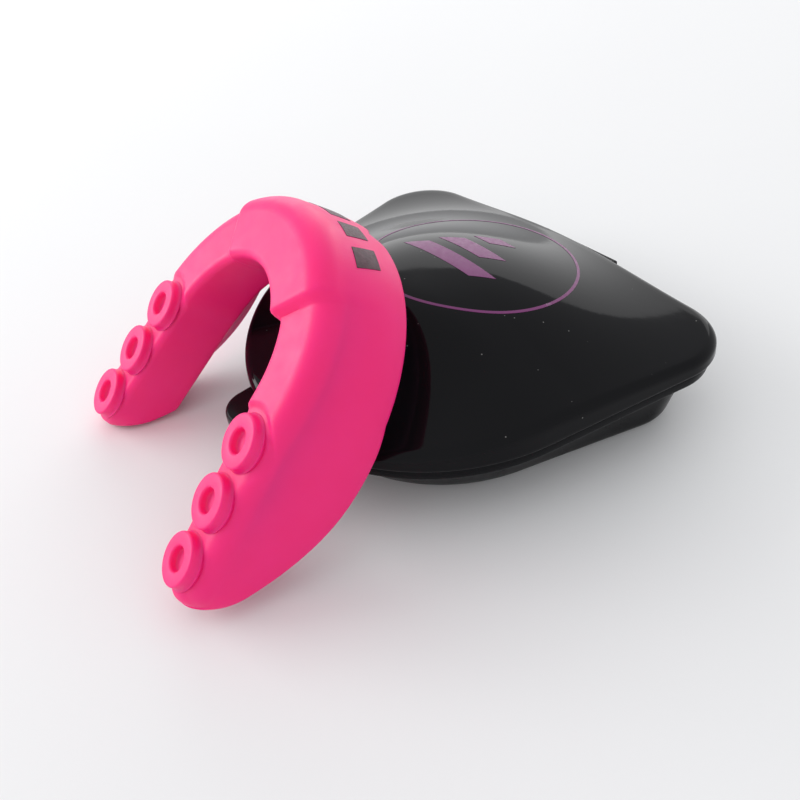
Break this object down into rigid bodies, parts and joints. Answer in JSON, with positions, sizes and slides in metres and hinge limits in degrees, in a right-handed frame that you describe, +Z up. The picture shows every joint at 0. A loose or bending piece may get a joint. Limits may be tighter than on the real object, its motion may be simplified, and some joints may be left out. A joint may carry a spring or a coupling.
{
  "type": "mouthguard with hinged case",
  "caption": "U-shaped gel mouthguard with raised cushion rings, leaning on a domed black storage case with a hinged lid and a thumb tab.",
  "frame": {"origin": "on the flat underside of the case, below the middle of its rim", "axes": "+Z up; +Y from the rounded front of the case to its straight hinge side; +X to the right"},
  "size_m": [0.0855, 0.1022, 0.0451],
  "materials": {
    "base_black": "gloss moulded black, satin below the lip",
    "lid_black": "high-gloss moulded black",
    "pin_steel": "plain steel",
    "lid_ink": "pad-printed purple ink",
    "guard_pink": "smooth hot-pink gel",
    "liner_pink": "softer, paler mouldable lining",
    "wall_ink": "dark pad-printed ink"
  },
  "bodies": {
    "case": {"case_base": "base_black", "hinge_pin": "pin_steel"},
    "lid": {"case_lid": "lid_black", "lid_print_ring": "lid_ink", "lid_print_emblem": "lid_ink"},
    "guard": {"guard_shell": "guard_pink", "guard_liner": "liner_pink", "guard_wall_print": "wall_ink"}
  },
  "joints": [
    {"name": "lid_hinge", "type": "hinge", "parent": "case", "child": "lid", "pos_m": [0, 0.0347, 0.0096], "axis": [-1, 0, 0], "range_deg": [0, 110]},
    {"name": "guard_lift", "type": "slide", "parent": "case", "child": "guard", "axis": [0, -0.5, 0.866], "range_m": [0, 0.12]}
  ],
  "couplings": [
    {"joint": "guard_lift", "follows": "lid_hinge", "m_per_rad": 0.06}
  ]
}
